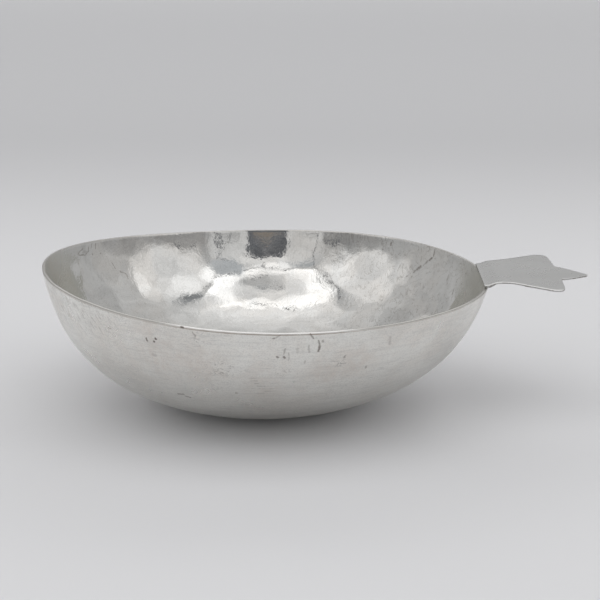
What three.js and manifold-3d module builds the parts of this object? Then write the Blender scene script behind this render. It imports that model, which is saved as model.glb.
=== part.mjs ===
// Shallow hand-raised metal bowl with one flat three-pointed handle.
// Millimetres, +Z up, origin at the middle of the flat spot that the bowl stands on, handle towards +X.
import * as THREE from "three";
import { mergeVertices } from "three/addons/utils/BufferGeometryUtils.js";
import Module from "manifold-3d";

const wasm = await Module();
wasm.setup();

// Bowl wall: a flat foot, then three arcs that meet without a corner. Slopes are in degrees from level.
const rimRadius = 76;
const wallThickness = 1.0;
const footRadius = 11.5;
const bottomRadius = 82;
const turnRadius = 47.9;
const bottomEndSlope = 29.2;
const turnEndSlope = 67.3;
const rimSlope = 76.4;

// Handwork: the rim stands off the foot's centre, leans down to the handle and waves as it goes round.
const rimShift = 1.25;
const rimWaves = [
  { turns: 1, cosine: -2.45, sine: 0 },
  { turns: 2, cosine: 1.16, sine: 0.46 },
  { turns: 3, cosine: -0.52, sine: -0.13 },
  { turns: 4, cosine: -0.11, sine: -0.1 },
];
const waveFade = 1.5; // how fast the waves die away below the rim

// Handle, seen from above: distances from the rim's centre and half widths.
const handleThickness = 0.65;
const rootAngle = 14.2; // half of the arc of rim that the root covers
const neckReach = 77.6;
const neckHalfWidth = 16.7;
const flareStart = { reach: 86.6, halfWidth: 20.7 };
const shoulderStart = { reach: 94.2, halfWidth: 26.2 };
const shoulderCorner = { reach: 98.7, halfWidth: 28.6 };
const shoulderEnd = { reach: 99.3, halfWidth: 22.5 };
const notch = { reach: 99.9, halfWidth: 9.8 };
const pointSwell = { reach: 105.2, halfWidth: 6.3 };
const tipRoundStart = { reach: 108.8, halfWidth: 1.9 };
const tipReach = 110;

// Handle, seen from the side: height of its top face over the rim's centre.
const handleRise = [
  { reach: 70, height: -0.62 },
  { reach: 74.8, height: -0.59 },
  { reach: 77, height: 0.1 },
  { reach: 80.6, height: 0.5 },
  { reach: 88, height: 0.35 },
  { reach: 96, height: 0.1 },
  { reach: 112, height: -1.1 },
];

// Solder under the handle's root, in the corner between the handle and the wall.
const filletLeg = 2;
const filletSag = 0.25; // share of the leg that the hollow face keeps at the corner
const filletHalfWidth = 11.5;
const seamGap = 0.25;

// Facets
const turnsAround = 84;
const halfStepsPerArc = 3;
const stepsPerCurve = 8;
const riseSteps = 36;

// Overlap of the cutting shapes past what they cut
const cutterMargin = 10;

const radians = THREE.MathUtils.degToRad;

// Point on a profile arc where the wall has the given slope.
function arcPoint(centre, radius, slope) {
  const direction = new THREE.Vector2(Math.sin(radians(slope)), -Math.cos(radians(slope)));
  return direction.multiplyScalar(radius).add(centre);
}

// Centre of the arc that carries on from another one at a slope, with its own radius.
function nextCentre(centre, radius, slope, nextRadius) {
  return arcPoint(centre, radius - nextRadius, slope);
}

const bottomCentre = new THREE.Vector2(footRadius, bottomRadius);
const turnCentre = nextCentre(bottomCentre, bottomRadius, bottomEndSlope, turnRadius);
const turnEnd = arcPoint(turnCentre, turnRadius, turnEndSlope);
const sideSpread = Math.sin(radians(rimSlope)) - Math.sin(radians(turnEndSlope));
const sideRadius = (rimRadius - turnEnd.x) / sideSpread;
const sideCentre = nextCentre(turnCentre, turnRadius, turnEndSlope, sideRadius);
const rimHeight = arcPoint(sideCentre, sideRadius, rimSlope).y;

// Profile of one face of the wall, from the axis out to the rim, at a depth inside the outer face.
function wallProfile(depth) {
  const arcs = [
    { centre: bottomCentre, radius: bottomRadius, from: 0, to: bottomEndSlope },
    { centre: turnCentre, radius: turnRadius, from: bottomEndSlope, to: turnEndSlope },
    { centre: sideCentre, radius: sideRadius, from: turnEndSlope, to: rimSlope },
  ];
  const profile = new THREE.Path();
  profile.moveTo(0, depth);
  profile.lineTo(footRadius, depth);
  for (const { centre, radius, from, to } of arcs) {
    profile.absarc(centre.x, centre.y, radius - depth, radians(from - 90), radians(to - 90), false);
  }
  return profile.getPoints(halfStepsPerArc);
}

// Height that the rim gains or loses at an angle round the bowl.
function rimWave(around) {
  return rimWaves.reduce(
    (height, { turns, cosine, sine }) =>
      height + cosine * Math.cos(turns * around) + sine * Math.sin(turns * around),
    0,
  );
}

// Revolves a profile about the vertical axis, then pulls it out of true as the hand-raised bowl is.
function raisedByHand(profile) {
  const geometry = new THREE.LatheGeometry(profile, turnsAround).rotateX(Math.PI / 2);
  const position = geometry.attributes.position;
  const point = new THREE.Vector3();
  for (let i = 0; i < position.count; i += 1) {
    point.fromBufferAttribute(position, i);
    const rise = Math.max(point.z - wallThickness, 0) / (rimHeight - wallThickness);
    point.z += rimWave(Math.atan2(point.y, point.x)) * rise ** waveFade;
    point.x += rimShift * rise;
    position.setXYZ(i, point.x, point.y, point.z);
  }
  return geometry;
}

// Closed solid of a geometry, for cutting and joining.
function solidOf(geometry) {
  geometry.deleteAttribute("normal");
  geometry.deleteAttribute("uv");
  const merged = mergeVertices(geometry);
  return new wasm.Manifold(new wasm.Mesh({
    numProp: 3,
    vertProperties: new Float32Array(merged.attributes.position.array),
    triVerts: new Uint32Array(merged.index.array),
  }));
}

function geometryOf(solid) {
  const { vertProperties, triVerts } = solid.getMesh();
  const geometry = new THREE.BufferGeometry();
  geometry.setAttribute("position", new THREE.BufferAttribute(vertProperties, 3));
  geometry.setIndex(new THREE.BufferAttribute(triVerts, 1));
  geometry.computeVertexNormals();
  return geometry;
}

// Outline of the handle from above: one side from root to tip, its mirror image, and the root's arc.
function handleOutline() {
  const innerRim = rimRadius - wallThickness;
  const side = new THREE.Path();
  side.moveTo(rimRadius * Math.cos(radians(rootAngle)), rimRadius * Math.sin(radians(rootAngle)));
  side.quadraticCurveTo(innerRim, neckHalfWidth, neckReach, neckHalfWidth);
  side.quadraticCurveTo(
    (neckReach + flareStart.reach) / 2, neckHalfWidth, flareStart.reach, flareStart.halfWidth,
  );
  side.lineTo(shoulderStart.reach, shoulderStart.halfWidth);
  side.quadraticCurveTo(
    shoulderCorner.reach, shoulderCorner.halfWidth, shoulderEnd.reach, shoulderEnd.halfWidth,
  );
  side.lineTo(notch.reach, notch.halfWidth);
  side.quadraticCurveTo(
    pointSwell.reach, pointSwell.halfWidth, tipRoundStart.reach, tipRoundStart.halfWidth,
  );
  side.quadraticCurveTo(tipReach, tipRoundStart.halfWidth / 2, tipReach, 0);
  const left = side.getPoints(stepsPerCurve);
  const right = left.slice(0, -1).reverse().map(({ x, y }) => new THREE.Vector2(x, -y));
  const root = new THREE.Path();
  root.absarc(0, 0, innerRim, radians(-rootAngle), radians(rootAngle), false);
  return new THREE.Shape([...left, ...right, ...root.getPoints(stepsPerCurve)]);
}

// Sheet that follows the handle's rise from the rim, as wide as a margin past the shoulders.
function risingSheet(above, below) {
  const knots = handleRise.map(({ reach, height }) => new THREE.Vector2(reach, height));
  const top = new THREE.SplineCurve(knots).getPoints(riseSteps);
  const section = new THREE.Shape([
    ...top.map(({ x, y }) => new THREE.Vector2(x, y + above)),
    ...top.reverse().map(({ x, y }) => new THREE.Vector2(x, y - below)),
  ]);
  const width = 2 * (shoulderCorner.halfWidth + cutterMargin);
  const sheet = new THREE.ExtrudeGeometry(section, { depth: width, bevelEnabled: false });
  return solidOf(sheet.translate(0, 0, -width / 2).rotateX(Math.PI / 2));
}

const rimCentre = new THREE.Vector3(rimShift, 0, rimHeight);

function makeBowl() {
  return raisedByHand([...wallProfile(0), ...wallProfile(wallThickness).reverse()]);
}

function makeHandle() {
  const depth = 2 * cutterMargin;
  const blank = new THREE.ExtrudeGeometry(handleOutline(), { depth, bevelEnabled: false });
  const plan = solidOf(blank.translate(0, 0, -cutterMargin));
  return geometryOf(plan.intersect(risingSheet(0, handleThickness))).translate(...rimCentre);
}

function makeSolder() {
  const wallRun = 1 / Math.tan(radians(rimSlope));
  const corner = new THREE.Vector2(rimRadius + seamGap, rimHeight);
  const section = new THREE.Path();
  section.moveTo(corner.x, corner.y + filletLeg);
  section.lineTo(corner.x, corner.y);
  section.lineTo(corner.x - filletLeg * wallRun, corner.y - filletLeg);
  section.quadraticCurveTo(
    corner.x + filletLeg * filletSag, corner.y - filletLeg * filletSag,
    corner.x + filletLeg, corner.y + filletLeg,
  );
  section.closePath();
  const ring = solidOf(raisedByHand(section.getPoints(stepsPerCurve)));
  const neck = new THREE.BoxGeometry(rimRadius, 2 * filletHalfWidth, 2 * rimHeight);
  const clearance = risingSheet(cutterMargin, handleThickness + seamGap).translate(...rimCentre);
  return geometryOf(ring.intersect(solidOf(neck.translate(rimRadius, 0, rimHeight))).subtract(clearance));
}

function metal(color, roughness) {
  return new THREE.MeshStandardMaterial({ color, roughness, metalness: 1 });
}

function namedPiece(name, geometry, material) {
  const piece = new THREE.Mesh(geometry, material);
  piece.name = name;
  return piece;
}

const handledBowl = new THREE.Group();
handledBowl.add(
  namedPiece("bowl_shell", makeBowl(), metal(0xc8c7c3, 0.3)),
  namedPiece("handle_tab", makeHandle(), metal(0xbdbcb8, 0.4)),
  namedPiece("solder_fillet", makeSolder(), metal(0xb3b2ad, 0.5)),
);

export default handledBowl;
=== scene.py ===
import math

import bpy
import numpy as np
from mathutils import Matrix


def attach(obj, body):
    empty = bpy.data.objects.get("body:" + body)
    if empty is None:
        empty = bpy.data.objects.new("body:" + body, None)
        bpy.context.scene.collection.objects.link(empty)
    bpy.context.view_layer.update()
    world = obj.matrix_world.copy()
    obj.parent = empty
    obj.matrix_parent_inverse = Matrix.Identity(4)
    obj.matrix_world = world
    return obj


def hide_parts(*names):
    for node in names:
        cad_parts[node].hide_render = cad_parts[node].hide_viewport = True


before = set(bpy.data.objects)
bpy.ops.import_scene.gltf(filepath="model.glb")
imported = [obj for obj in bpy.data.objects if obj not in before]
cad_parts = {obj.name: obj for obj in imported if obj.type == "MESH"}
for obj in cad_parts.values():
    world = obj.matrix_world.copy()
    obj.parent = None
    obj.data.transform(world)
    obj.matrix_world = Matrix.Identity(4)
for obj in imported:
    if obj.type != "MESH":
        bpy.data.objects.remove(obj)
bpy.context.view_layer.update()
scene = bpy.context.scene
scene.view_settings.view_transform = "Standard"
print("frame loaded:", sorted(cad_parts))

mm = 0.001
wholeTurn = 2 * math.pi
phaseSpan = 6.28  # radians that random phases are drawn from


# mesh helpers

def smoothStep(value):
    # 0 below 0, 1 above 1, an even S between
    t = np.clip(value, 0.0, 1.0)
    return t * t * (3.0 - 2.0 * t)


def ringFaces(rows, columns):
    # quads of a grid of closed rings, ring after ring, facing outwards when the rings climb
    row, column = np.meshgrid(np.arange(rows - 1), np.arange(columns), indexing="ij")
    after = (column + 1) % columns
    corners = (row * columns + column, row * columns + after,
               (row + 1) * columns + after, (row + 1) * columns + column)
    return np.stack(corners, -1).reshape(-1, 4)


def fanFaces(pole, start, columns):
    # triangles from a pole to the ring of points that begins at start
    around = np.arange(columns)
    return np.stack([np.full(columns, pole), start + around, start + (around + 1) % columns], -1)


def newPiece(name, points, faces):
    mesh = bpy.data.meshes.new(name)
    mesh.from_pydata(points.tolist(), [], faces)
    piece = bpy.data.objects.new(name, mesh)
    scene.collection.objects.link(piece)
    return piece


def loftPiece(name, rings, firstPole, lastPole, flatEnd=False):
    # rings is rows x columns x 3; a fan to a pole closes each end, and flatEnd shades the first fan flat
    rows, columns = rings.shape[:2]
    count = rows * columns
    points = np.concatenate([rings.reshape(-1, 3), [firstPole], [lastPole]])
    firstFan = fanFaces(count, 0, columns)[:, ::-1]
    lastFan = fanFaces(count + 1, count - columns, columns)
    faces = ringFaces(rows, columns).tolist() + firstFan.tolist() + lastFan.tolist()
    piece = newPiece(name, points, faces)
    smooth = np.ones(len(faces), bool)
    smooth[count - columns:count] = not flatEnd
    piece.data.polygons.foreach_set("use_smooth", smooth)
    piece.data.validate()
    piece.data.update()
    return piece


def pointAttribute(piece, name, values):
    data = piece.data.attributes.new(name, "FLOAT", "POINT").data
    data.foreach_set("value", np.asarray(values, np.float32).ravel())


def finishPiece(piece, material, node):
    piece.data.materials.append(material)
    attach(piece, "root")
    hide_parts(node)
    print("piece", piece.name, len(piece.data.polygons), "faces")


# shader helpers; each adds to a node tree and gives an output

def newMaterial(name):
    material = bpy.data.materials.new(name)
    material.use_nodes = True
    material.node_tree.nodes.clear()
    return material, material.node_tree


def plug(tree, value, socket):
    # another node's output is linked, a number or colour is set, and None leaves the socket alone
    if isinstance(value, bpy.types.NodeSocket):
        tree.links.new(value, socket)
    elif value is not None:
        socket.default_value = value


def addNode(tree, kind, inputs, output=0, **settings):
    # settings come first, because they decide which inputs the node shows
    node = tree.nodes.new(kind)
    for name, value in settings.items():
        setattr(node, name, value)
    for key, value in inputs.items():
        plug(tree, value, node.inputs[key])
    return node.outputs[output]


def showSurface(tree, kind, surface):
    output = tree.nodes.new(kind)
    tree.links.new(surface, output.inputs["Surface"])


def showMetal(tree, colour, rough, normal=None):
    inputs = {"Base Color": colour, "Metallic": 1.0, "Roughness": rough, "Normal": normal}
    metal = addNode(tree, "ShaderNodeBsdfPrincipled", inputs)
    showSurface(tree, "ShaderNodeOutputMaterial", metal)


def numberMath(tree, operation, a, b=0.0):
    return addNode(tree, "ShaderNodeMath", {0: a, 1: b}, operation=operation)


def vectorMath(tree, operation, a, b=(0.0, 0.0, 0.0)):
    output = "Value" if operation in ("LENGTH", "DISTANCE", "DOT_PRODUCT") else "Vector"
    return addNode(tree, "ShaderNodeVectorMath", {0: a, 1: b}, output, operation=operation)


def product(tree, *factors):
    total = factors[0]
    for factor in factors[1:]:
        total = numberMath(tree, "MULTIPLY", total, factor)
    return total


def strongest(tree, masks):
    # masks are made one at a time, so that the shader holds few of them at once
    total = 0.0
    for mask in masks:
        total = numberMath(tree, "MAXIMUM", total, mask)
    return total


def splitAxes(tree, place):
    return addNode(tree, "ShaderNodeSeparateXYZ", {"Vector": place}).node.outputs


def joinAxes(tree, *values):
    return addNode(tree, "ShaderNodeCombineXYZ", dict(enumerate(values)))


def objectPlace(tree, stretch=(1.0, 1.0, 1.0), turn=(0.0, 0.0, 0.0)):
    # object coordinates in metres, stretched and then turned in degrees
    place = addNode(tree, "ShaderNodeTexCoord", {}, "Object")
    inputs = {"Vector": place, "Scale": stretch, "Rotation": [math.radians(angle) for angle in turn]}
    return addNode(tree, "ShaderNodeMapping", inputs)


def noise(tree, place, perMetre, detail, rough, warp=0.0, output="Fac"):
    inputs = {"Vector": place, "Scale": perMetre, "Detail": detail, "Roughness": rough, "Distortion": warp}
    return addNode(tree, "ShaderNodeTexNoise", inputs, output)


def between(tree, value, low, high, start=0.0, end=1.0):
    # low..high becomes start..end; the smooth step holds its ends by itself, so no clamp is needed
    inputs = {"Value": value, "From Min": low, "From Max": high, "To Min": start, "To Max": end}
    return addNode(tree, "ShaderNodeMapRange", inputs, "Result", interpolation_type="SMOOTHSTEP", clamp=False)


def noiseShare(tree, place, grain, heights, shares=(0.0, 1.0)):
    # a noise made a share: its two heights become the two shares
    return between(tree, noise(tree, place, *grain), *heights, *shares)


def offMiddle(tree, height):
    # how far a noise is from its middle height
    return numberMath(tree, "ABSOLUTE", numberMath(tree, "SUBTRACT", height, 0.5))


def thinLines(tree, place, grain, width, core=0.2):
    # 1 along the lines where a noise crosses its middle
    return between(tree, offMiddle(tree, noise(tree, place, *grain)), core * width, width, 1.0, 0.0)


def lineMask(tree, place, start, end, width, core=0.3):
    # 1 on the line from start to end, soft to 0 at width away from it
    along = end - start
    offset = vectorMath(tree, "SUBTRACT", place, tuple(start))
    share = product(tree, vectorMath(tree, "DOT_PRODUCT", offset, tuple(along)), 1 / (along @ along))
    share = numberMath(tree, "MAXIMUM", numberMath(tree, "MINIMUM", share, 1.0), 0.0)
    nearest = vectorMath(tree, "MULTIPLY", joinAxes(tree, share, share, share), tuple(along))
    away = vectorMath(tree, "DISTANCE", offset, nearest)
    return between(tree, away, core * width, width, 1.0, 0.0)


def unevenPlace(tree, place, often, shift):
    # a place pushed about by a noise, for ragged edges
    push = noise(tree, place, often, 2.0, 0.5, 0.0, "Color")
    push = vectorMath(tree, "SUBTRACT", push, (0.5, 0.5, 0.5))
    push = vectorMath(tree, "MULTIPLY", push, (shift, shift, shift))
    return vectorMath(tree, "ADD", place, push)


def mixColour(tree, share, first, second, kind="RGBA"):
    inputs = {"Factor": share, "A": first, "B": second}
    return addNode(tree, "ShaderNodeMix", inputs, "Result", data_type=kind)


def mixNumber(tree, share, first, second):
    return mixColour(tree, share, first, second, "FLOAT")


def mixShader(tree, share, first, second):
    return addNode(tree, "ShaderNodeMixShader", {0: share, 1: first, 2: second})


def glow(tree, kind, colour, strength=1.0):
    return addNode(tree, kind, {"Color": colour, "Strength": strength})


def attribute(tree, name):
    return addNode(tree, "ShaderNodeAttribute", {}, "Fac", attribute_name=name)


def bump(tree, height, distance, normal=None):
    inputs = {"Strength": 1.0, "Distance": distance, "Height": height, "Normal": normal}
    return addNode(tree, "ShaderNodeBump", inputs)


# bowl

bowl = {
    "rimRadius": 76 * mm,
    "wall": 1.0 * mm,
    "footRadius": 11.5 * mm,
    "bottomRadius": 82 * mm,
    "turnRadius": 47.9 * mm,
    "slopes": (29.2, 67.3, 76.4),  # degrees from level where bottom, turn and side end
    "rimShift": 1.25 * mm,
    "waves": ((1, -2.45 * mm, 0.0), (2, 1.16 * mm, 0.46 * mm),
              (3, -0.52 * mm, -0.13 * mm), (4, -0.11 * mm, -0.1 * mm)),  # times round, cosine, sine
    "waveFade": 1.5,  # how fast the waves die away below the rim
    "lipRise": 0.3 * mm,
    "lipFullness": 0.6,  # 1 is a half round lip, less is squarer
    "columns": 400,
    "outerRows": 100,
    "lipRows": 8,
    "innerRows": 118,
    "profileSteps": 4000,
    "blowSpacing": 9.0 * mm,
    "blowDepth": 0.05 * mm,
    "blowStray": (0.38, 0.4),  # how far a blow strays round and up, in spacings
    "blowSharpness": 5.0,
    "leastBlows": 5,  # in one course
    "lumpDepth": 0.04 * mm,
    "lumpLength": 16 * mm,
    "lumpSpread": (0.5, 1.6),
    "lumpCount": 48,
    "footBlend": 0.8,  # foot radii past the foot over which the outside's hammering sets in
    "evenAngle": 0.27,  # the hammering dies away at the handle's root, within this angle and above evenFrom
    "evenFrom": 0.9,
    "evenFade": (0.1, 0.06),  # round the rim and up the wall
    "outsideShare": 0.5,
    "seed": 7,
}


def wallArcs():
    # where foot, bottom, turn and side end along the wall, and its slope there
    bottomEnd, turnEnd, rimEnd = np.radians(bowl["slopes"])
    reach = bowl["footRadius"] + bowl["bottomRadius"] * math.sin(bottomEnd)
    reach += bowl["turnRadius"] * (math.sin(turnEnd) - math.sin(bottomEnd))
    sideRadius = (bowl["rimRadius"] - reach) / (math.sin(rimEnd) - math.sin(turnEnd))
    lengths = [0.0, bowl["footRadius"], bowl["bottomRadius"] * bottomEnd,
               bowl["turnRadius"] * (turnEnd - bottomEnd), sideRadius * (rimEnd - turnEnd)]
    return np.cumsum(lengths), np.array([0.0, 0.0, bottomEnd, turnEnd, rimEnd])


wallStations, wallSlopes = wallArcs()
wallLength = wallStations[-1]


def wallProfile(share):
    # the slope grows evenly along each arc; radius and height are the running sums of its cosine and sine
    fine = np.linspace(0.0, wallLength, bowl["profileSteps"] + 1)
    slope = np.interp(fine, wallStations, wallSlopes)
    outward, upward = np.cos(slope), np.sin(slope)
    step = fine[1]
    radius = np.concatenate([[0.0], np.cumsum((outward[1:] + outward[:-1]) * step / 2)])
    height = np.concatenate([[0.0], np.cumsum((upward[1:] + upward[:-1]) * step / 2)])
    at = share * wallLength
    return np.interp(at, fine, radius), np.interp(at, fine, height), np.interp(at, fine, slope)


rimHeight = float(wallProfile(np.array([1.0]))[1][0])
rimCentre = np.array([bowl["rimShift"], 0.0, rimHeight])


def rimWave(around):
    # sum of cosines and sines that go round the rim once, twice, three and four times
    return sum(c * np.cos(turns * around) + s * np.sin(turns * around) for turns, c, s in bowl["waves"])


def shellPoint(share, around, depth, lift):
    # the profile turned about the axis, set in by depth and up by lift, then leaned and waved towards the rim
    radius, height, slope = wallProfile(share)
    radius = radius + np.cos(slope) * lift - np.sin(slope) * depth
    height = height + np.sin(slope) * lift + np.cos(slope) * depth
    rise = np.maximum(height - bowl["wall"], 0.0) / (rimHeight - bowl["wall"])
    x = radius * np.cos(around) + bowl["rimShift"] * rise
    y = radius * np.sin(around)
    z = height + rimWave(around) * rise ** bowl["waveFade"]
    return np.stack(np.broadcast_arrays(x, y, z), -1)


def shellNormal(share, around):
    # outwards and down, square to the turned profile
    slope = wallProfile(share)[2]
    outward = np.sin(slope)
    normal = np.broadcast_arrays(outward * np.cos(around), outward * np.sin(around), -np.cos(slope))
    return np.stack(normal, -1)


def blowCentres(random):
    # hammer blows in courses up the wall, each course filled round and every blow a little off its place
    spacing = bowl["blowSpacing"]
    strayRound, strayUp = bowl["blowStray"]
    centres = []
    for course in np.arange(0.5, wallLength / spacing) * spacing / wallLength:
        radius = wallProfile(np.array([course]))[0][0]
        count = max(bowl["leastBlows"], int(round(wholeTurn * radius / spacing)))
        around = (np.arange(count) + random.uniform(-strayRound, strayRound, count)) * wholeTurn / count
        share = course + random.uniform(-strayUp, strayUp, count) * spacing / wallLength
        turned = around + random.uniform(0, phaseSpan)
        centres.append(shellPoint(np.clip(share, 0, 1), turned, 0.0, 0.0))
    return np.concatenate(centres)


def hammered(points, random):
    # facets: a soft least of the squared distances to the blows; lumps: a sum of long random waves
    centres = blowCentres(random)
    flat = points.reshape(-1, 3)
    size = bowl["blowSpacing"] / 2
    sharp = bowl["blowSharpness"]
    facets = np.empty(len(flat))
    for part in np.array_split(np.arange(len(flat)), 40):  # in parts, to save memory
        apart = ((flat[part, None, :] - centres[None]) ** 2).sum(-1) / size ** 2
        least = apart.min(1)
        facets[part] = least - np.log(np.exp(-sharp * (apart - least[:, None])).sum(1)) / sharp
    count = bowl["lumpCount"]
    directions = random.normal(size=(count, 3))
    directions /= np.linalg.norm(directions, axis=1, keepdims=True)
    waves = directions * (wholeTurn / bowl["lumpLength"]) * random.uniform(*bowl["lumpSpread"], (count, 1))
    lumps = np.cos(flat @ waves.T + random.uniform(0, phaseSpan, count)).sum(1) / math.sqrt(count / 2)
    move = (facets - facets.mean()) * bowl["blowDepth"] + lumps * bowl["lumpDepth"]
    return move.reshape(points.shape[:-1])


def hammerStrength(share, around, depth):
    # weaker outside, none on the foot's underside and none where the handle's root sits
    pastFoot = wallProfile(share)[0] / bowl["footRadius"] - 1.0
    keepFlat = smoothStep(pastFoot / bowl["footBlend"])
    strength = bowl["outsideShare"] + (1 - bowl["outsideShare"]) * depth
    fromHandle = np.abs((around + math.pi) % wholeTurn - math.pi)
    fadeRound, fadeUp = bowl["evenFade"]
    nearRoot = smoothStep((bowl["evenAngle"] - fromHandle) / fadeRound + 1)
    nearRoot = nearRoot * smoothStep((share - bowl["evenFrom"]) / fadeUp)
    return np.maximum(keepFlat, depth) * strength * (1 - nearRoot)


def makeBowl():
    # rows climb the outer face, turn over the lip and go down the inner face, each a ring round the axis
    random = np.random.default_rng(bowl["seed"])
    lipStart = 1.0 - bowl["lipRise"] / wallLength
    outer = np.linspace(0.0, lipStart, bowl["outerRows"] + 1)[1:]
    over = np.linspace(0.0, math.pi, bowl["lipRows"] + 2)[1:-1]
    inner = np.linspace(lipStart, 0.0, bowl["innerRows"] + 1)[:-1]
    share = np.concatenate([outer, np.full_like(over, lipStart), inner])[:, None]
    depth = np.concatenate([0 * outer, (1 - np.cos(over)) / 2, 0 * inner + 1])[:, None]
    lift = np.concatenate([0 * outer, np.sin(over) ** bowl["lipFullness"], 0 * inner])[:, None]
    around = np.arange(bowl["columns"])[None] * wholeTurn / bowl["columns"]
    rings = shellPoint(share, around, depth * bowl["wall"], lift * bowl["lipRise"])
    move = hammered(shellPoint(share, around, 0.0, 0.0), random) * hammerStrength(share, around, depth)
    rings = rings + move[..., None] * shellNormal(share, around)
    rings[..., 2] = np.maximum(rings[..., 2], 0.0)
    piece = loftPiece("raised_bowl", rings, (0.0, 0.0, 0.0), (0.0, 0.0, bowl["wall"]))
    fall = (1.0 - share) * wallLength / mm
    fromFront = (np.degrees(around) + 270.0) % 360.0 - 180.0
    onRings = np.ones(rings.shape[:2])
    pointAttribute(piece, "inside", np.append(depth * onRings, [0.0, 1.0]))
    pointAttribute(piece, "lip", np.append(lift * onRings, [0.0, 0.0]))
    pointAttribute(piece, "fall", np.append(fall * onRings, [wallLength / mm] * 2))  # mm down from the rim
    pointAttribute(piece, "turn", np.append(fromFront * onRings, [0.0, 0.0]))  # degrees
    return piece


# bowl metal

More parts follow.
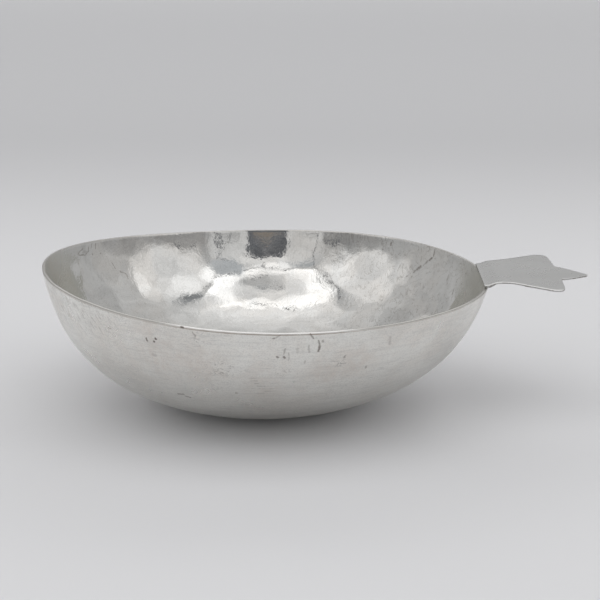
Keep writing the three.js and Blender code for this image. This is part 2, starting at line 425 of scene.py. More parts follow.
bowlMetal = {
    "silver": (0.927, 0.919, 0.882, 1.0),
    "mirror": (0.785, 0.782, 0.768, 1.0),
    "warm": (0.8, 0.742, 0.68, 1.0),
    "dull": (0.62, 0.612, 0.59, 1.0),
    "stain": (0.69, 0.615, 0.555, 1.0),
    "scratch": (0.47, 0.452, 0.425, 1.0),
    "mark": (0.2, 0.165, 0.145, 1.0),
    "lip": (0.87, 0.858, 0.845, 1.0),
    "lipDull": (0.5, 0.49, 0.465, 1.0),
    "lipBrown": (0.4, 0.325, 0.285, 1.0),
    "lipHighlightFront": (-72.8 * mm, -68.0 * mm),  # a painted highlight makes the lip bright in front of this
    "lipCover": (0.1, 0.7),
    # a noise's size per metre, detail, roughness and warp, the heights it works between, its shares there
    "warmClouds": ((62, 6, 0.62, 0.6), (0.42, 0.64), (0.0, 0.4)),
    "dullClouds": ((52, 6, 0.66, 0.7), (0.44, 0.72), (0.0, 0.2)),
    "dashes": ((1.0, 3, 0.55, 0.35), (0.54, 0.7), (0.0, 0.55)),
    "dashPlaces": ((80, 3, 0.5), (0.42, 0.62), (0.2, 1.0)),
    "squigglePlaces": ((64, 3, 0.55), (0.48, 0.62), (0.0, 0.6)),
    "fineGrain": ((2100, 2, 0.6), (0.42, 0.72), (0.0, 0.46)),
    "mottle": ((380, 4, 0.65), (0.38, 0.62), (0.35, 1.0)),
    "rungBreaks": ((1.0, 2, 0.5), (0.46, 0.58)),
    "lipPatches": ((170, 4, 0.6), (0.3, 0.6), (0.6, 1.0)),
    "hatchDabs": ((1.0, 2, 0.5), (0.5, 0.68)),
    # how the object is stretched for a noise, and turned in degrees
    "cloudStretch": ((1, 1, 1.5), (20, 0, 40)),
    "streakStretch": ((70, 70, 1100),),
    "dashStretch": ((260, 260, 2300), (4, -3, 0)),
    "squiggleStretch": ((1, 1, 1.9),),
    "hairStretch": ((1.5, 1, 0.6),),
    "rungStretch": ((420, 420, 900),),
    "streaks": (1.0, 4, 0.6, 0.2),
    "streakShares": (0.46, 0.68, 0.0, 0.3),
    "squiggles": ((290, 3, 0.55, 0.9), 0.024),  # thin wandering lines: noise and width
    "hairs": ((240, 3, 0.55, 0.8), 0.02),
    "hairShares": (0.0, 50 * mm, 0.14, 0.6),  # hairs inside show more towards the handle
    "warmInside": 0.7,  # shares that are left inside the bowl
    "calmInside": 0.4,
    "squigglesInside": 0.3,
    "lowShade": (6.0, 30.0, 0.0, 0.29),  # mm below the rim over which painted shade darkens the wall towards the bottom
    "ragged": (800, 0.9 * mm),  # how often and how far the marks' edges wander
    "pushed": (130, 10 * mm),  # and those of the clouds
    "roughPatches": (90, 5, 0.6),
    "outsideRough": (0.3, 0.7, 0.27, 0.4),
    "insideRough": (0.45, 0.75, 0.02, 0.09),
    "dullEnds": (66 * mm, 73 * mm),  # how far out the inside is dull in line with the handle
    "endRough": 0.34,
    "lipRough": 0.4,
    "lipRoughShare": 0.6,
    "markRough": 0.6,
    "ripples": (330, 3, 0.5, 0.6),
    "rippleHeight": 0.038 * mm,
    "dimples": (1100, 2, 0.5, 0.4),
    "dimpleHeight": 0.012 * mm,
    "streakHeight": 0.012 * mm,
    "outsideMarks": (  # turn in degrees and share of the wall at both ends, half width in mm, strength
        (-119.0, 0.933, -118.8, 0.924, 0.5, 0.75), (-116.3, 0.94, -116.2, 0.938, 0.55, 0.95),
        (-116.8, 0.926, -116.7, 0.925, 0.6, 0.95), (-106.2, 0.984, -105.6, 0.969, 0.4, 0.4),
        (-87.3, 0.983, -87.1, 0.984, 0.5, 0.6), (-86.8, 0.985, -85.8, 0.994, 0.4, 0.35),
        (-84.4, 0.942, -84.6, 0.922, 0.45, 0.4), (-84.6, 0.909, -84.5, 0.905, 0.55, 0.75),
        (-86.2, 0.909, -86.1, 0.907, 0.55, 0.75), (-83.5, 0.925, -83.4, 0.895, 0.35, 0.25),
        (-78.8, 0.997, -78.0, 0.981, 0.45, 0.55), (-76.6, 0.969, -76.2, 0.944, 0.5, 0.6),
        (-76.2, 0.944, -76.4, 0.929, 0.6, 0.75), (-75.6, 0.969, -75.5, 0.965, 0.5, 0.45),
        (-78.8, 0.952, -78.6, 0.927, 0.5, 0.3), (-81.4, 0.94, -81.4, 0.928, 0.7, 0.16),
        (-79.4, 0.89, -79.4, 0.882, 0.45, 0.3), (-69.4, 0.897, -69.4, 0.892, 0.5, 0.5),
        (-62.4, 0.838, -62.4, 0.834, 0.55, 0.45), (-57.9, 0.953, -57.4, 0.923, 0.6, 0.2),
        (-115.0, 0.686, -113.2, 0.69, 0.6, 0.5), (-112.8, 0.678, -111.6, 0.675, 0.6, 0.5),
        (-96.8, 0.732, -96.5, 0.732, 0.5, 0.4), (-117.8, 0.872, -117.2, 0.872, 0.8, 0.2),
        (-99.8, 0.833, -99.6, 0.833, 0.4, 0.35), (-97.9, 0.858, -97.6, 0.856, 0.4, 0.3),
        (-109.0, 0.999, -108.5, 0.999, 0.6, 0.9), (-130.8, 0.936, -130.0, 0.934, 0.45, 0.3),
    ),
    "insideMarks": (
        (35.6, 0.99, 35.4, 0.966, 0.38, 0.5), (35.8, 0.956, 36.6, 0.944, 0.65, 0.55),
        (37.2, 0.94, 37.6, 0.93, 0.6, 0.5), (38.0, 0.926, 38.4, 0.918, 0.35, 0.35),
        (39.2, 0.911, 40.4, 0.897, 0.75, 0.55), (40.8, 0.891, 41.4, 0.883, 0.55, 0.5),
        (43.4, 0.863, 43.5, 0.862, 0.42, 0.6), (41.4, 0.865, 41.5, 0.864, 0.42, 0.55),
        (156.0, 0.966, 153.0, 0.98, 0.35, 0.45), (155.5, 0.962, 152.5, 0.955, 0.35, 0.45),
        (152.5, 0.955, 150.6, 0.968, 0.35, 0.45), (150.6, 0.968, 150.2, 0.98, 0.35, 0.4),
        (153.0, 0.967, 151.8, 0.966, 0.9, 0.22), (149.2, 0.976, 148.4, 0.99, 0.3, 0.4),
        (147.4, 0.97, 146.8, 0.988, 0.3, 0.4), (149.2, 0.953, 149.1, 0.952, 0.45, 0.45),
        (145.6, 0.95, 145.5, 0.949, 0.45, 0.4), (157.0, 0.935, 156.9, 0.934, 0.45, 0.4),
        (141.8, 0.909, 141.2, 0.885, 0.35, 0.35), (139.6, 0.873, 137.6, 0.859, 0.35, 0.5),
        (137.6, 0.859, 137.2, 0.841, 0.4, 0.5), (20.4, 0.877, 20.2, 0.857, 0.35, 0.4),
        (17.4, 0.954, 17.3, 0.953, 0.4, 0.4), (52.2, 0.978, 52.2, 0.968, 0.4, 0.65),
        (54.8, 0.948, 54.7, 0.947, 0.45, 0.5),
    ),
    "stains": (  # turn, share and reach in mm of the brownish clouds
        (-66.0, 0.867, 10.0), (-73.4, 0.83, 8.0), (-89.0, 0.775, 9.0),
        (-116.0, 0.865, 13.0), (-106.0, 0.862, 12.0), (-118.0, 0.97, 8.0),
    ),
    "stainShare": 0.34,
    "scuffs": ((-70.2, 0.879, 3.6), (-83.4, 0.84, 5.0), (-100.0, 0.85, 7.0), (-105.5, 0.965, 3.0)),
    "scuffShare": 0.85,
    "ladders": ((-70.0, 0.88, 4.2), (-89.5, 0.772, 6.5)),  # short level scratches one above the other
    "ladderStep": 1.05 * mm,
    "ladderRung": (0.2, 0.9),
    "ladderShare": 0.7,
    # painted shade on the wall beside the handle's root: turn, share and reach in mm
    "handleShade": ((-9.0, 0.97, 18.0), (9.0, 0.97, 18.0)),
    "handleShadeShare": 0.55,
    "hatch": ((-57.0, 4.0), (24.0, 11.0)),  # brushed dabs: turn and mm below the rim, and their reach
    "hatchSlant": 57,
    "hatchSize": (3.4, 0.75, 1.0),  # mm along and across one dab
    "hatchFade": (0.3, 1.0),
    "hatchShare": 0.5,
    "underLip": ((0.29, 0.34), (0.55, 0.75)),  # mm below the rim where the brown line comes and goes
    "underShares": (0.4, 0.95),  # behind and in front
    "underInside": 0.4,
}


def wallSpot(turn, share, depth=0.0):
    return shellPoint(np.array([share]), math.radians(turn), depth, 0.0)[0]


def wallMarks(tree, place, marks, depth):
    # short strokes and pits on one face of the wall
    def mask(turn, share, endTurn, endShare, width, strength):
        start, end = wallSpot(turn, share, depth), wallSpot(endTurn, endShare, depth)
        return product(tree, lineMask(tree, place, start, end, width * mm), strength)

    return strongest(tree, (mask(*mark) for mark in marks))


def wallClouds(tree, place, clouds, core=0.2):
    # soft round clouds with wandering edges
    def mask(turn, share, reach):
        away = vectorMath(tree, "DISTANCE", place, tuple(wallSpot(turn, share)))
        return between(tree, away, core * reach * mm, reach * mm, 1.0, 0.0)

    return strongest(tree, (mask(*cloud) for cloud in clouds))


def hatchMask(tree):
    # short slanting dabs on the unrolled wall: turn times radius across, fall downwards
    turn, fall = attribute(tree, "turn"), attribute(tree, "fall")
    across = product(tree, turn, math.radians(bowl["rimRadius"] / mm))
    slant = (0.0, 0.0, math.radians(bowlMetal["hatchSlant"]))
    inputs = {"Vector": joinAxes(tree, across, fall), "Rotation": slant, "Scale": bowlMetal["hatchSize"]}
    slanted = addNode(tree, "ShaderNodeMapping", inputs, vector_type="TEXTURE")
    dabs = noiseShare(tree, slanted, *bowlMetal["hatchDabs"])
    squares = []
    for value, middle, reach in zip((turn, fall), *bowlMetal["hatch"]):
        off = numberMath(tree, "DIVIDE", numberMath(tree, "SUBTRACT", value, middle), reach)
        squares.append(product(tree, off, off))
    away = numberMath(tree, "ADD", *squares)
    return product(tree, dabs, between(tree, away, *bowlMetal["hatchFade"], 1.0, 0.0))


def bowlPlaces(tree):
    # what the bowl's colour, roughness and relief all read
    place = objectPlace(tree)
    inside = attribute(tree, "inside")
    wandering = objectPlace(tree, *bowlMetal["squiggleStretch"])
    return {
        "place": place,
        "axes": splitAxes(tree, place),
        "inside": inside,
        "outside": numberMath(tree, "SUBTRACT", 1.0, inside),
        "lip": attribute(tree, "lip"),
        "fall": attribute(tree, "fall"),
        "ragged": unevenPlace(tree, place, *bowlMetal["ragged"]),
        "pushed": unevenPlace(tree, place, *bowlMetal["pushed"]),
        "streaks": noise(tree, objectPlace(tree, *bowlMetal["streakStretch"]), *bowlMetal["streaks"]),
        "squiggles": thinLines(tree, wandering, *bowlMetal["squiggles"]),
    }


def plateColour(tree, at):
    # warm and dull clouds, level streaks and fine scratches outside, hairs inside, fine grain, and painted
    # shade growing towards the bottom of the wall
    place, inside = at["place"], at["inside"]
    warm = noiseShare(tree, place, *bowlMetal["warmClouds"])
    warm = product(tree, warm, mixNumber(tree, inside, 1.0, bowlMetal["warmInside"]))
    dull = noiseShare(tree, objectPlace(tree, *bowlMetal["cloudStretch"]), *bowlMetal["dullClouds"])
    # painted shade: the lower the wall, the further it is mixed towards the dull tone
    dull = numberMath(tree, "ADD", dull, between(tree, at["fall"], *bowlMetal["lowShade"]))
    dashes = noiseShare(tree, objectPlace(tree, *bowlMetal["dashStretch"]), *bowlMetal["dashes"])
    dashes = product(tree, dashes, noiseShare(tree, place, *bowlMetal["dashPlaces"]))
    lines = numberMath(tree, "MAXIMUM", between(tree, at["streaks"], *bowlMetal["streakShares"]), dashes)
    squiggles = product(tree, at["squiggles"], noiseShare(tree, place, *bowlMetal["squigglePlaces"]))
    lines = numberMath(tree, "MAXIMUM", lines, squiggles)
    lines = mixNumber(tree, inside, lines, product(tree, at["squiggles"], bowlMetal["squigglesInside"]))
    hairs = thinLines(tree, objectPlace(tree, *bowlMetal["hairStretch"]), *bowlMetal["hairs"])
    hairs = product(tree, hairs, between(tree, at["axes"]["X"], *bowlMetal["hairShares"]), inside)
    grain = noiseShare(tree, place, *bowlMetal["fineGrain"])
    calm = mixNumber(tree, inside, 1.0, bowlMetal["calmInside"])
    colour = mixColour(tree, inside, bowlMetal["silver"], bowlMetal["mirror"])
    colour = mixColour(tree, warm, colour, bowlMetal["warm"])
    colour = mixColour(tree, product(tree, dull, calm), colour, bowlMetal["dull"])
    colour = mixColour(tree, lines, colour, bowlMetal["dull"])
    colour = mixColour(tree, hairs, colour, bowlMetal["scratch"])
    return mixColour(tree, product(tree, grain, calm), colour, bowlMetal["dull"])


def stainedColour(tree, at, colour):
    # brownish stains, scuffs, level scratches, brushed dabs, and painted shade on the wall by the handle's
    # root
    def clouds(key):
        return wallClouds(tree, at["pushed"], bowlMetal[key])

    outside = at["outside"]
    mottle = noiseShare(tree, at["place"], *bowlMetal["mottle"])
    stains = product(tree, clouds("stains"), mottle, outside, bowlMetal["stainShare"])
    colour = mixColour(tree, stains, colour, bowlMetal["stain"])
    scuffs = product(tree, clouds("scuffs"), at["squiggles"], outside, bowlMetal["scuffShare"])
    climb = product(tree, at["axes"]["Z"], wholeTurn / bowlMetal["ladderStep"])
    rungs = between(tree, numberMath(tree, "SINE", climb), *bowlMetal["ladderRung"])
    breaks = noiseShare(tree, objectPlace(tree, *bowlMetal["rungStretch"]), *bowlMetal["rungBreaks"])
    ladders = product(tree, clouds("ladders"), rungs, breaks, outside, bowlMetal["ladderShare"])
    hatch = product(tree, hatchMask(tree), outside, bowlMetal["hatchShare"])
    for share in (scuffs, ladders, hatch):
        colour = mixColour(tree, share, colour, bowlMetal["scratch"])
    # painted shade: the wall beside the handle's root is darkened towards the dull tone
    shadeByHandle = product(tree, clouds("handleShade"), bowlMetal["handleShadeShare"])
    return mixColour(tree, shadeByHandle, colour, bowlMetal["dull"])


def lipColour(tree, at, colour):
    # painted highlight on the lip in front, dull elsewhere, with a brown line under it
    # painted highlight: the lip is bright only on its front, where it faces the camera
    front = between(tree, at["axes"]["Y"], *bowlMetal["lipHighlightFront"], 1.0, 0.0)
    edge = mixColour(tree, front, bowlMetal["lipDull"], bowlMetal["lip"])
    colour = mixColour(tree, between(tree, at["lip"], *bowlMetal["lipCover"]), colour, edge)
    comes, goes = bowlMetal["underLip"]
    under = product(tree, between(tree, at["fall"], *comes), between(tree, at["fall"], *goes, 1.0, 0.0),
                    noiseShare(tree, at["place"], *bowlMetal["lipPatches"]),
                    mixNumber(tree, front, *bowlMetal["underShares"]),
                    mixNumber(tree, at["inside"], 1.0, bowlMetal["underInside"]))
    return mixColour(tree, under, colour, bowlMetal["lipBrown"])


def bowlRoughness(tree, at, marks):
    # satin outside, polished inside but for the two ends, dull on the lip and in the marks
    patches = noise(tree, at["place"], *bowlMetal["roughPatches"])
    outer = between(tree, patches, *bowlMetal["outsideRough"])
    inner = between(tree, patches, *bowlMetal["insideRough"])
    ends = between(tree, numberMath(tree, "ABSOLUTE", at["axes"]["X"]), *bowlMetal["dullEnds"])
    inner = mixNumber(tree, ends, inner, bowlMetal["endRough"])
    rough = mixNumber(tree, at["inside"], outer, inner)
    onLip = product(tree, at["lip"], bowlMetal["lipRoughShare"])
    rough = mixNumber(tree, onLip, rough, bowlMetal["lipRough"])
    return mixNumber(tree, marks, rough, bowlMetal["markRough"])


def bowlRelief(tree, at):
    # ripples and dimples inside, brushing outside
    ripples = product(tree, noise(tree, at["place"], *bowlMetal["ripples"]), at["inside"])
    dimples = product(tree, noise(tree, at["place"], *bowlMetal["dimples"]), at["inside"])
    brushing = product(tree, at["streaks"], at["outside"])
    normal = bump(tree, ripples, bowlMetal["rippleHeight"])
    normal = bump(tree, dimples, bowlMetal["dimpleHeight"], normal)
    return bump(tree, brushing, bowlMetal["streakHeight"], normal)


def makeBowlMetal():
    material, tree = newMaterial("hammered_silver")
    at = bowlPlaces(tree)
    colour = lipColour(tree, at, stainedColour(tree, at, plateColour(tree, at)))
    outer = wallMarks(tree, at["ragged"], bowlMetal["outsideMarks"], 0.0)
    inner = wallMarks(tree, at["ragged"], bowlMetal["insideMarks"], bowl["wall"])
    outer, inner = product(tree, outer, at["outside"]), product(tree, inner, at["inside"])
    marks = numberMath(tree, "MAXIMUM", outer, inner)
    colour = mixColour(tree, marks, colour, bowlMetal["mark"])
    showMetal(tree, colour, bowlRoughness(tree, at, marks), bowlRelief(tree, at))
    return material


# handle

handle = {
    "thickness": 0.52 * mm,
    "rootThickness": 0.92 * mm,
    "rootTaper": (75.0 * mm, 77.5 * mm),  # reach over which the root thins to the plain sheet
    "edgeRound": 0.2 * mm,
    "edgeMost": 0.9,  # the rounding's most, as a share of the half width
    "edgeThin": 0.06 * mm,
    "edgeSteps": 5,
    "root": (73.25, 16.4),  # reach and half width of the straight end inside the rim, mm
    "outline": (  # pull and end of each curve: reach from the rim's centre and half width, mm
        ((74.6, 17.2), (77.6, 16.7)), ((82.1, 16.7), (86.6, 20.7)), ((90.4, 23.45), (94.2, 26.2)),
        ((98.7, 28.6), (99.3, 22.5)), ((99.6, 16.15), (99.9, 9.8)), ((105.0, 6.5), (108.2, 2.5)),
        ((109.9, 1.5), (110.0, 0.15)),
    ),
    "rise": (  # reach and height of the top face over the rim's centre, mm
        (72.5, -0.64), (74.8, -0.58), (77.0, 0.15), (80.6, 0.5), (88.0, 0.35), (96.0, 0.1), (112.0, -1.1),
    ),
    "tipRound": 0.05 * mm,
    "waver": 0.015 * mm,
    "waverLength": 22 * mm,
    "waverFrom": (78 * mm, 86 * mm),  # reach over which the sheet's unevenness sets in
    "waverCount": 10,
    "seed": 3,
    "curveSteps": 14,
    "across": 41,
}


def bezier(start, pull, end, count):
    # quadratic curve from start to end drawn towards pull, without its start point
    t = np.linspace(0.0, 1.0, count + 1)[1:, None]
    return (1 - t) ** 2 * np.array(start) + 2 * t * (1 - t) * np.array(pull) + t ** 2 * np.array(end)


def smoothThrough(at, knots):
    # cubic pieces through the knots, with a shared slope where two meet
    x, y = np.array(knots).T * mm
    slopes = np.gradient(y, x)
    k = np.clip(np.searchsorted(x, at) - 1, 0, len(x) - 2)
    span = x[k + 1] - x[k]
    t = (at - x[k]) / span
    ends = y[k] * (1 + 2 * t) * (1 - t) ** 2 + y[k + 1] * t ** 2 * (3 - 2 * t)
    return ends + span * t * (1 - t) * (slopes[k] * (1 - t) - slopes[k + 1] * t)


def handleStations():
    # reach, middle height, slope, half width and thickness of every row, from root to tip
    outline = [np.array([handle["root"]])]
    for pull, end in handle["outline"]:
        outline.append(bezier(outline[-1][-1], pull, end, handle["curveSteps"]))
    reach, halfWidth = np.concatenate(outline).T * mm
    step = 0.1 * mm
    top = smoothThrough(reach, handle["rise"])
    slope = np.arctan2(smoothThrough(reach + step, handle["rise"]) - top, step)
    taperStart, taperEnd = handle["rootTaper"]
    taper = 1 - smoothStep((reach - taperStart) / (taperEnd - taperStart))
    thick = handle["thickness"] + (handle["rootThickness"] - handle["thickness"]) * taper
    return reach, top - thick / 2, slope, halfWidth, thick


def handleWaver(x, y):
    # a sum of random waves over the flat sheet, none at the root
    random = np.random.default_rng(handle["seed"])
    count = handle["waverCount"]
    waves = random.normal(size=(count, 2)) * wholeTurn / handle["waverLength"]
    phases = random.uniform(0, phaseSpan, count)
    total = sum(np.cos(a * x + b * y + c) for (a, b), c in zip(waves, phases)) / math.sqrt(count / 2)
    start, end = handle["waverFrom"]
    return total * handle["waver"] * smoothStep((x - start) / (end - start))


def makeHandle():
    # a strip section with rounded edges carried out along the stations, square to their slope
    x, z, slope, width, thick = (values[:, None] for values in handleStations())
    side = np.linspace(1.0, -1.0, handle["across"])
    turn = np.linspace(0.0, math.pi, handle["edgeSteps"] + 2)[1:-1]
    none, edge = 0 * side, np.ones_like(turn)
    over = np.concatenate([side, -edge, -side, edge])
    out = np.concatenate([none, -np.sin(turn), none, np.sin(turn)])
    up = np.concatenate([none + 1, np.cos(turn), none - 1, -np.cos(turn)])
    onEdge = np.concatenate([none, edge, none, edge])
    rounding = np.minimum(handle["edgeRound"], width * handle["edgeMost"])
    y = over * (width - rounding) + out * rounding
    lift = up * (thick / 2 - handle["edgeThin"] * onEdge)
    liftedX = x - np.sin(slope) * lift
    liftedZ = z + np.cos(slope) * lift + handleWaver(x, y)
    rings = np.stack(np.broadcast_arrays(liftedX, y, liftedZ), -1) + rimCentre
    middles = rings.mean(1)
    tip = middles[-1] + np.array([handle["tipRound"], 0.0, 0.0])
    piece = loftPiece("star_handle", rings, middles[0], tip, True)
    pointAttribute(piece, "edge", np.append(np.abs(out) * np.ones_like(x), [0.0, 1.0]))
    inset = (width - np.abs(y)) / mm
    pointAttribute(piece, "inset", np.append(inset, [inset.max(), 0.0]))  # mm in from the cut edge
    return piece


handleMetal = {
    "silver": (0.68, 0.68, 0.672, 1.0),
    "dull": (0.61, 0.607, 0.6, 1.0),
    "nick": (0.3, 0.28, 0.26, 1.0),
    # noise, heights it works between, shares there
    "clouds": ((60, 5, 0.6), (0.4, 0.7), (0.0, 0.3)),
    "brushing": ((1.0, 1, 0.5, 0.3), (0.4, 0.7), (0.0, 0.4)),
    "nicks": ((1.0, 3, 0.6), (0.5, 0.6), (0.25, 0.9)),
    "roughness": ((160, 4, 0.6), (0.3, 0.7), (0.27, 0.29)),
    "brushStretch": (14, 150, 14),
    "nickStretch": (620, 160, 160),
    "border": (0.0, 1.1, 0.4, 0.0),  # mm in from the edge, and how dark it is there
    "borderSide": (0.0, 4 * mm),  # the border shows on the far side
}


def makeHandleMetal():
    material, tree = newMaterial("brushed_silver")
    place = objectPlace(tree)
    clouds = noiseShare(tree, place, *handleMetal["clouds"])
    lines = noiseShare(tree, objectPlace(tree, handleMetal["brushStretch"]), *handleMetal["brushing"])
    worn = numberMath(tree, "MAXIMUM", clouds, lines)
    colour = mixColour(tree, worn, handleMetal["silver"], handleMetal["dull"])
    border = between(tree, attribute(tree, "inset"), *handleMetal["border"])
    farSide = between(tree, splitAxes(tree, place)["Y"], *handleMetal["borderSide"])
    colour = mixColour(tree, product(tree, border, farSide), colour, handleMetal["nick"])
    nicks = noiseShare(tree, objectPlace(tree, handleMetal["nickStretch"]), *handleMetal["nicks"])
    nicks = product(tree, nicks, attribute(tree, "edge"))
    colour = mixColour(tree, nicks, colour, handleMetal["nick"])
    showMetal(tree, colour, noiseShare(tree, place, *handleMetal["roughness"]))
    return material


# solder

solder = {
    "halfAngle": 12.2,
    "wallFoot": (75.55, -2.9),  # reach and height over the rim's centre of the fillet's three corners, mm
    "corner": (74.7, -1.2),
    "tabEnd": (78.4, -0.3),
    "hollow": (76.4, -1.5),  # what the open face is drawn towards
    "faceSteps": 12,
    "backSteps": 4,
    "endFullness": 6,  # more keeps the bead full nearer to its ends
    "endSize": 0.001,
    "rows": 61,
}


def makeSolder():
    # a hollow three-cornered section swung round the rim, shrinking to nothing at both ends
    foot, corner, tab, hollow = (np.array(solder[key]) * mm
                                 for key in ("wallFoot", "corner", "tabEnd", "hollow"))
    face = np.concatenate([[tab], bezier(tab, hollow, foot, solder["faceSteps"])])
    wallSide = bezier(foot, (foot + corner) / 2, corner, solder["backSteps"])
    tabSide = bezier(corner, (corner + tab) / 2, tab, solder["backSteps"])
    section = np.concatenate([face, wallSide, tabSide[:-1]])
    along = np.linspace(-1.0, 1.0, solder["rows"])[:, None]
    angle = np.radians(solder["halfAngle"]) * along
    size = (1.0 - np.abs(along) ** solder["endFullness"]) ** 0.5 + solder["endSize"]
    reach = corner[0] + (section[:, 0] - corner[0]) * size
    height = corner[1] + (section[:, 1] - corner[1]) * size + rimWave(angle) - rimWave(0.0)
    rings = np.stack([reach * np.cos(angle), reach * np.sin(angle), height], -1) + rimCentre
    middles = rings.mean(1)
    return loftPiece("solder_bead", rings, middles[0], middles[-1])


solderMetal = {
    "bright": (0.66, 0.65, 0.63, 1.0),
    "grey": (0.5, 0.49, 0.47, 1.0),
    "grain": (420, 4, 0.6),
    "greyHeights": (0.35, 0.7),
    "roughness": (0.3, 0.7, 0.36, 0.55),
    "grainHeight": 0.06 * mm,
}


def makeSolderMetal():
    material, tree = newMaterial("dull_solder")
    grain = noise(tree, objectPlace(tree), *solderMetal["grain"])
    grey = between(tree, grain, *solderMetal["greyHeights"])
    colour = mixColour(tree, grey, solderMetal["bright"], solderMetal["grey"])
    rough = between(tree, grain, *solderMetal["roughness"])
    showMetal(tree, colour, rough, bump(tree, grain, solderMetal["grainHeight"]))
    return material


# studio

studio = {
    "floorRadius": 6.0,
    "floorRings": 40,
    "floorColumns": 96,
    "floorDrop": 0.05 * mm,  # just clear of the foot
    "floorNear": (0.628, 0.628, 0.64, 1.0),
    "floorFarShade": (0.3796, 0.3796, 0.389, 1.0),
    "floorSteps": (  # from and to, metres back, and the share of the far, painted-shade tone gained there
        (-0.05, 0.08, 0.104), (0.1, 0.6, 0.704), (0.6, 1.5, 0.192),
    ),
    "floorRough": 0.9,
    "floorShine": 0.2,
    "mirroredFar": (0.2, 0.2, 0.2, 1.0),  # the far floor as the metal shows it
    "mirroredBack": (0.4, 0.4, 0.4, 1.0),
    "mirroredFade": (0.2, 0.6),  # metres out over which it takes over
    "mirroredDepth": (0.06, 0.7),  # metres back over which it grows lighter
    "roomEven": (0.14, 0.14, 0.14, 1.0),
    "skyColour": (0.62, 0.62, 0.63, 1.0),
    "skyFade": (1.57, 1.95),  # metres out over which the floor runs into the sky
    "panelFar": 2.4,  # metres
    "panels": (  # centre in panel distances, turn in degrees, size in panel distances, how bright it looks
        ("tent_top", (0.0, -0.4, 1.0), (0, 0, 0), (1.25, 1.6), 1.11),
        ("tent_back", (0.0, 0.95, 0.4), (-90, 0, 0), (1.6, 0.7), 2.18),
        ("tent_front", (0.0, -0.95, 0.4), (90, 0, 0), (1.6, 0.7), 0.91),
        ("tent_left", (-0.82, 0.275, 0.45), (0, -90, 0), (0.86, 1.65), 1.46),
        ("tent_right", (0.82, 0.275, 0.45), (0, 90, 0), (0.86, 1.65), 1.46),
    ),
}


def makeFloorPaper():
    # pale near the bowl and painted darker behind it, a painted shade for the light falling off; metal sees a
    # dim far floor, the camera sees it run into the sky
    material, tree = newMaterial("floor_paper")
    place = objectPlace(tree)
    back = splitAxes(tree, place)["Y"]
    out = vectorMath(tree, "LENGTH", place)
    tone = 0.0
    # painted shade: the floor's tone darkens step by step behind the bowl
    for start, end, share in studio["floorSteps"]:
        tone = numberMath(tree, "ADD", tone, between(tree, back, start, end, 0.0, share))
    colour = mixColour(tree, tone, studio["floorNear"], studio["floorFarShade"])
    inputs = {"Base Color": colour, "Roughness": studio["floorRough"],
              "Specular IOR Level": studio["floorShine"]}
    paper = addNode(tree, "ShaderNodeBsdfPrincipled", inputs)
    deep = between(tree, back, *studio["mirroredDepth"])
    dim = mixColour(tree, deep, studio["mirroredFar"], studio["mirroredBack"])
    dim = glow(tree, "ShaderNodeEmission", dim)
    haze = glow(tree, "ShaderNodeEmission", studio["skyColour"])
    path = tree.nodes.new("ShaderNodeLightPath").outputs
    mirrored = product(tree, between(tree, out, *studio["mirroredFade"]), path["Is Glossy Ray"])
    hazy = product(tree, between(tree, out, *studio["skyFade"]), path["Is Camera Ray"])
    seen = mixShader(tree, hazy, mixShader(tree, mirrored, paper, dim), haze)
    showSurface(tree, "ShaderNodeOutputMaterial", seen)
    return material


def makeFloor():
    # a flat disc of rings whose spacing grows outwards
    rows, columns = studio["floorRings"], studio["floorColumns"]
    radii = studio["floorRadius"] * np.linspace(0.0, 1.0, rows + 1)[1:, None] ** 2
    around = np.arange(columns) * wholeTurn / columns
    x, y = radii * np.cos(around), radii * np.sin(around)
    rings = np.stack([x, y, np.full_like(x, -studio["floorDrop"])], -1)
    points = np.concatenate([rings.reshape(-1, 3), [(0.0, 0.0, -studio["floorDrop"])]])
    fan = fanFaces(rows * columns, 0, columns)
    floor = newPiece("floor", points, ringFaces(rows, columns)[:, ::-1].tolist() + fan.tolist())
    floor.data.update()
    floor.data.materials.append(makeFloorPaper())


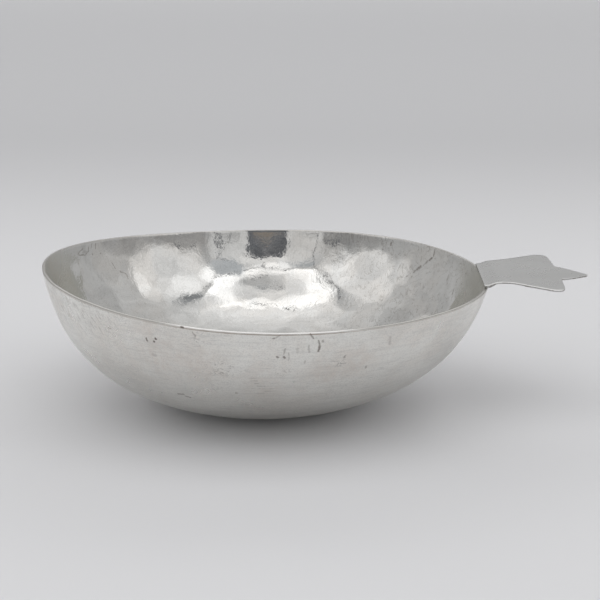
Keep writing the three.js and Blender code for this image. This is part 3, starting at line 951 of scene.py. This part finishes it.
# the room that polished metal mirrors
# places are degrees from straight up, +x to the handle, -y to the camera
tent = {
    "room": 0.47,
    "twice": (0.445, 0.448, 0.428, 1.0),  # its plain tone in metal mirrored by metal, low down and overhead
    "twiceHigh": (0.9, 0.9, 0.89, 1.0),
    "twiceFade": (18, 64),
    "cloths": (  # middle, reach, squareness, softness, level, warmth
        ((0, 46), (42, 15), 2.5, 0.2, 1.3, 0.0),  # light behind the bowl
        ((48, 13), (26, 13), 2.0, 0.8, 0.58, 0.0),  # pale back corners
        ((-44, 12), (18, 10), 2.0, 0.8, 0.55, 0.0),
        ((-4, 3), (30, 19), 2.0, 0.8, 0.86, 0.0),  # light over the back
        ((1, -4), (27, 8), 3.0, 0.6, 1.02, 0.0),
        ((-46, -16), (19, 21), 2.5, 0.22, 0.87, 0.01),  # left cloth, its middle and its near edge
        ((-62, -2), (8, 7), 2.0, 0.6, 0.72, 0.0),
        ((-51, -23), (10, 11), 2.0, 0.7, 0.74, 0.0),
        ((-38, -34), (8, 14), 2.0, 0.5, 1.0, 0.0),
        ((-31.5, -10), (4.5, 13), 2.0, 0.6, 0.54, -0.01),
        ((51, -20), (21, 24), 3.0, 0.18, 0.9, 0.01),  # right cloth, its middle and its near edge
        ((54, -25), (17, 15), 2.0, 0.7, 0.73, 0.0),
        ((59, -1), (8, 4.5), 2.0, 0.6, 1.02, 0.0),
        ((37, 0), (9, 9), 2.5, 0.6, 0.63, 0.0),
        ((40, -18), (6, 12), 2.0, 0.6, 1.05, 0.0),
    ),
    "nearFloor": 0.32,
    "aboveFloor": ((1, 15), (81, 80), 2.0, 0.06),  # what lies outside this is near the floor
    "front": (
        ((0, -62), (40, 17), 3.0, 0.15, 0.66, 0.0),  # front cloth and its dim ends
        ((-53, -52), (13, 10), 2.0, 0.5, 0.28, 0.0),
        ((46, -57), (10, 9), 2.0, 0.6, 0.34, 0.0),
        ((-32, -70), (8, 6), 2.0, 0.6, 0.34, 0.0),
        ((33, -70), (8, 6), 2.0, 0.6, 0.4, 0.0),
        ((-0.7, -25.5), (27, 19), 4.5, 0.06, 1.45, 0.0),  # overhead cloth and the grey round its middle
        ((23, -11), (6, 4), 2.0, 0.6, 0.92, 0.0),
        ((32, -35), (6, 7), 2.0, 0.5, 1.22, 0.0),
        ((-1.5, -28.5), (18.5, 14.5), 2.5, 0.45, 0.9, 0.0),
        ((7, -20), (5, 5), 2.0, 0.6, 0.74, 0.0),
        ((3, -33), (10, 5.5), 2.0, 0.6, 0.52, -0.01),
        ((-20, -49.5), (12, 3.4), 2.5, 0.5, 0.46, -0.04),  # shade under the overhead cloth
        ((22.5, -46), (11, 6.5), 2.5, 0.35, 0.53, -0.04),
        ((-1, -54), (21, 3.2), 3.0, 0.5, 0.83, 0.0),  # lintel
        ((-3, -48), (13, 2.8), 2.0, 0.5, 1.14, 0.0),
        ((32.5, -9), (4.0, 5.5), 2.0, 0.5, 0.27, -0.04),  # slit in the corner
    ),
    "seams": (  # ends, half width
        ((-30, -8), (-30.5, -16), 1.0), ((-30.5, -16), (-29.5, -32), 0.9), ((-29.5, -32), (-28, -50), 0.7),
        ((-28, -50), (-34, -64), 0.9), ((28, -12), (31, -21), 0.45), ((31, -21), (28, -30), 0.5),
        ((27, -35), (19, -41), 0.7), ((19, -41), (14, -48), 0.7), ((34, -42), (37, -51), 0.8),
        ((18, -50), (29, -53), 0.5), ((29, -53), (32, -66), 1.15), ((-14, -44), (1, -47.5), 0.8),
        ((1, -47.5), (12, -45), 0.7), ((0, -48), (1, -53), 1.0), ((-12, -7), (4, -10), 0.7),
        ((-8, -30), (6, -29), 0.8), ((-2, -37), (6, -37), 0.8), ((-44, -49), (-40, -57), 0.9),
        ((-47, -52), (-43, -60), 0.7), ((50, -47), (60, -42), 1.0),
    ),
    "seamLevel": (0.14, 0.145, 0.155, 1.0),
    "mouth": ((0.7, -67.5), (13.3, 11.5), 8.0, 0.06),
    "mouthLevels": ((0.1, 0.107, 0.118, 1.0), (0.3, 0.3, 0.31, 1.0)),
    "mouthShade": ((0.3, 4, 0.6, 2.5), (0.4, 0.7)),
    "mouthFoot": ((-2, -78), (14, 9), 2.0, 0.3, 0.22, 0.12),
    "waver": (0.13, 5.0),  # how often and how far the edges wander, per degree and in degrees
    "ragged": (0.6, 2.6),
    "folds": ((0.07, 5, 0.55, 2.5), (0.3, 0.7), (0.92, 1.1)),
    "creases": (0.05, 3, 0.5, 3.0),
    "creaseShares": (0.0, 0.02, 0.86, 1.0),
}


def skyPlace(tree):
    # the way a ray leaves, as a flat map: degrees from straight up, laid out in the ray's compass direction
    ray = addNode(tree, "ShaderNodeTexCoord", {}, "Generated")
    tilt = product(tree, numberMath(tree, "ARCCOSINE", splitAxes(tree, ray)["Z"]), 180 / math.pi)
    compass = vectorMath(tree, "NORMALIZE", vectorMath(tree, "MULTIPLY", ray, (1.0, 1.0, 0.0)))
    return vectorMath(tree, "MULTIPLY", compass, joinAxes(tree, tilt, tilt, tilt))


def patchMask(tree, place, middle, reach, square, soft):
    # 1 inside a rounded patch, 0 outside: x and y over their reach, each raised to the squareness and summed
    inputs = {"Vector": place, "Scale": (1 / reach[0], 1 / reach[1], 0.0),
              "Location": (-middle[0] / reach[0], -middle[1] / reach[1], 0.0)}
    axes = splitAxes(tree, vectorMath(tree, "ABSOLUTE", addNode(tree, "ShaderNodeMapping", inputs)))
    total = numberMath(tree, "ADD", numberMath(tree, "POWER", axes["X"], square),
                       numberMath(tree, "POWER", axes["Y"], square))
    return between(tree, numberMath(tree, "POWER", total, 1 / square), 1 - soft, 1 + soft, 1.0, 0.0)


def plainGrey(level):
    return (level, level, level, 1.0)


def layCloths(tree, place, seen, cloths):
    # each cloth covers what was laid before it
    for middle, reach, square, soft, level, warmth in cloths:
        cloth = (level * (1 + warmth), level, level * (1 - warmth), 1.0)
        seen = mixColour(tree, patchMask(tree, place, middle, reach, square, soft), seen, cloth)
    return seen


def tentColour(tree, place):
    # cloths laid over the grey room in turn, dim near the floor, then the front, its seams and mouth
    wavy = unevenPlace(tree, place, *tent["waver"])
    ragged = unevenPlace(tree, wavy, *tent["ragged"])
    seen = layCloths(tree, wavy, plainGrey(tent["room"]), tent["cloths"])
    above = patchMask(tree, wavy, *tent["aboveFloor"])
    seen = mixColour(tree, above, plainGrey(tent["nearFloor"]), seen)
    seen = layCloths(tree, wavy, seen, tent["front"])
    seams = (lineMask(tree, ragged, np.array((*start, 0.0)), np.array((*end, 0.0)), width)
             for start, end, width in tent["seams"])
    seen = mixColour(tree, strongest(tree, seams), seen, tent["seamLevel"])
    inMouth = mixColour(tree, noiseShare(tree, place, *tent["mouthShade"]), *tent["mouthLevels"])
    inMouth = layCloths(tree, wavy, inMouth, [tent["mouthFoot"]])
    return mixColour(tree, patchMask(tree, ragged, *tent["mouth"]), seen, inMouth)


def tentFolds(tree, place):
    # soft folds, and creases where a noise crosses its middle
    creases = between(tree, offMiddle(tree, noise(tree, place, *tent["creases"])), *tent["creaseShares"])
    return product(tree, noiseShare(tree, place, *tent["folds"]), creases)


def makeWorld():
    # even grey light for the floor; glossy rays see the tent, or its plain tone once they are mirrored twice
    world = bpy.data.worlds.new("studio_room")
    scene.world = world
    world.use_nodes = True
    tree = world.node_tree
    tree.nodes.clear()
    background = "ShaderNodeBackground"
    place = skyPlace(tree)
    even = glow(tree, background, studio["roomEven"])
    sky = glow(tree, background, studio["skyColour"])
    cloth = glow(tree, background, tentColour(tree, place), tentFolds(tree, place))
    low = between(tree, vectorMath(tree, "LENGTH", place), *tent["twiceFade"])
    plain = glow(tree, background, mixColour(tree, low, tent["twiceHigh"], tent["twice"]))
    path = tree.nodes.new("ShaderNodeLightPath").outputs
    again = numberMath(tree, "GREATER_THAN", path["Glossy Depth"], 1.5)
    mirrored = mixShader(tree, path["Is Glossy Ray"], even, mixShader(tree, again, cloth, plain))
    showSurface(tree, "ShaderNodeOutputWorld", mixShader(tree, path["Is Camera Ray"], mirrored, sky))


def lightPanel(name, centre, facing, size, level):
    # a square-cornered soft panel; its energy makes it look as bright from any distance
    far = studio["panelFar"]
    light = bpy.data.lights.new(name, "AREA")
    light.shape = "RECTANGLE"
    light.size = size[0] * far
    light.size_y = size[1] * far
    light.energy = math.pi * level * light.size * light.size_y
    lamp = bpy.data.objects.new(name, light)
    lamp.location = np.array(centre) * far
    lamp.rotation_euler = np.radians(facing)
    lamp.visible_camera = False
    lamp.visible_glossy = False  # the metal mirrors the painted tent instead
    scene.collection.objects.link(lamp)


camera = {
    "lens": 114.0,
    "sensor": 36.0,
    "down": 14.006,  # degrees that it looks down
    "distance": 652.8 * mm,
    "aside": 12.855 * mm,  # the point it looks at: towards the handle and below the rim
    "belowRim": 9.81 * mm,
}


def makeCamera():
    # long lens in front of the bowl, looking down on it a little
    lens = bpy.data.cameras.new("camera")
    lens.lens = camera["lens"]
    lens.sensor_width = camera["sensor"]
    eye = bpy.data.objects.new("camera", lens)
    down = math.radians(camera["down"])
    aim = np.array([camera["aside"], 0.0, rimHeight - camera["belowRim"]])
    eye.location = aim + camera["distance"] * np.array([0.0, -math.cos(down), math.sin(down)])
    eye.rotation_euler = (math.pi / 2 - down, 0.0, 0.0)
    scene.collection.objects.link(eye)
    scene.camera = eye


makeCamera()
makeFloor()
makeWorld()
for panel in studio["panels"]:
    lightPanel(*panel)
print("studio ready")
finishPiece(makeBowl(), makeBowlMetal(), "bowl_shell")
finishPiece(makeHandle(), makeHandleMetal(), "handle_tab")
finishPiece(makeSolder(), makeSolderMetal(), "solder_fillet")
